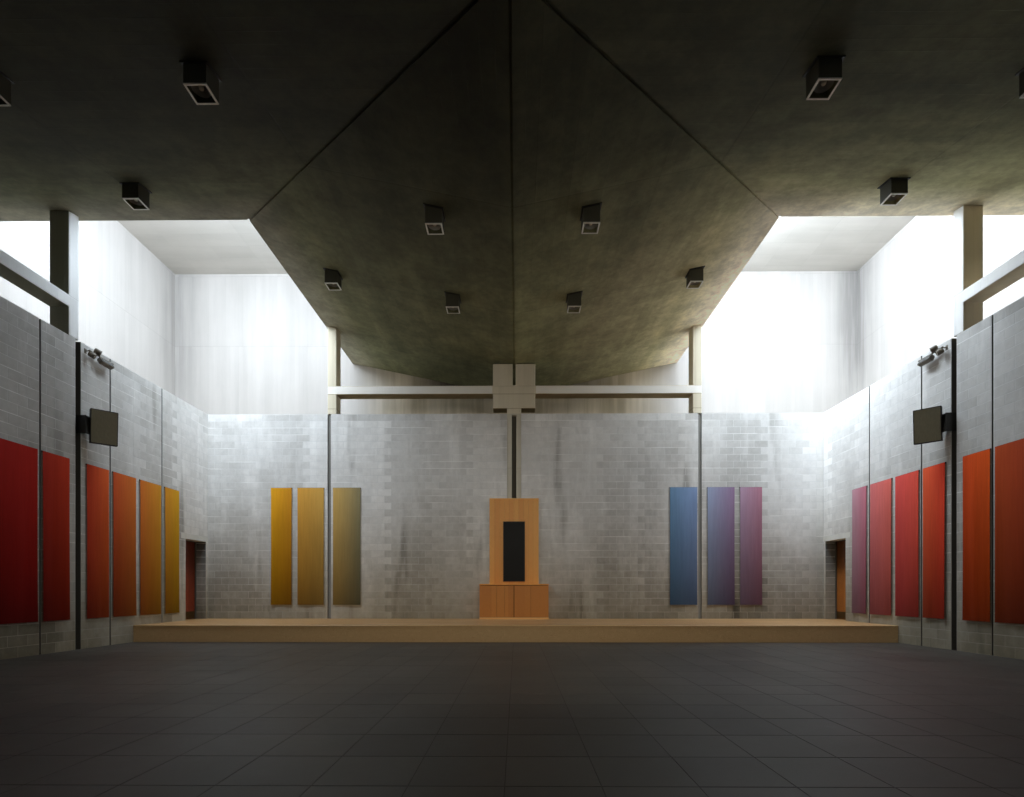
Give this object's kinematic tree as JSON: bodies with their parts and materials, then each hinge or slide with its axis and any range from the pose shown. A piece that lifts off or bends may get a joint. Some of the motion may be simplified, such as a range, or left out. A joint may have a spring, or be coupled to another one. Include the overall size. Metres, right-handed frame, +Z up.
{
  "type": "church hall with folded concrete roof and corner light towers",
  "caption": "Concrete block worship hall under a cross-shaped folded concrete roof, lit by glazed corner towers, with a raised platform, surrounding corridor and doors.",
  "frame": {"origin": "middle of the underside of the floor slab", "axes": "+Z up, +Y towards the platform wall, +X to the right seen from the seats"},
  "size_m": [24.3, 26.44, 12.79],
  "materials": {
    "block": "matte",
    "concrete": "matte",
    "ceiling": "matte",
    "floor": "satin",
    "platform": "satin",
    "wood": "satin",
    "black_board": "matte",
    "speaker": "matte",
    "tower_glass": "gloss",
    "hanging_cloth": "matte",
    "metal": "satin"
  },
  "bodies": {
    "building": {"backing_panel": "wood", "black_board": "black_board", "cabinet": "wood", "corridor_roof": "concrete", "far_frame": "concrete", "far_left_tower_glass": "tower_glass", "far_left_tower_roof": "concrete", "far_outer_wall": "concrete", "far_right_tower_glass": "tower_glass", "far_right_tower_roof": "concrete", "far_roof": "ceiling", "far_wall_a": "block", "far_wall_b": "block", "far_wall_c": "block", "far_wall_d": "block", "floor_slab": "floor", "left_doorway_lintel": "block", "left_doorway_pier": "block", "left_frame": "concrete", "left_outer_door": "wood", "left_outer_wall": "concrete", "left_rear_door": "wood", "left_roof": "ceiling", "left_speaker": "speaker", "left_wall_far": "block", "left_wall_far_end": "block", "left_wall_rear": "block", "left_wall_rear_end": "block", "platform": "platform", "rear_frame": "concrete", "rear_left_tower_glass": "tower_glass", "rear_left_tower_roof": "concrete", "rear_outer_wall": "concrete", "rear_right_tower_glass": "tower_glass", "rear_right_tower_roof": "concrete", "rear_roof": "ceiling", "rear_wall_a": "block", "rear_wall_b": "block", "rear_wall_c": "block", "rear_wall_d": "block", "right_doorway_lintel": "block", "right_doorway_pier": "block", "right_frame": "concrete", "right_outer_door": "wood", "right_outer_wall": "concrete", "right_rear_door": "wood", "right_roof": "ceiling", "right_speaker": "speaker", "right_wall_far": "block", "right_wall_far_end": "block", "right_wall_rear": "block", "right_wall_rear_end": "block"},
    "left_door": {"left_platform_door": "wood"},
    "right_door": {"right_platform_door": "wood"}
  },
  "joints": [
    {"name": "left_door_hinge", "type": "hinge", "parent": "building", "child": "left_door", "pos_m": [-9.566, 10.107, 0.606], "axis": [0, 0, -1], "range_deg": [0, 90]},
    {"name": "right_door_hinge", "type": "hinge", "parent": "building", "child": "right_door", "pos_m": [9.566, 10.107, 0.606], "axis": [0, 0, 1], "range_deg": [0, 90]}
  ]
}
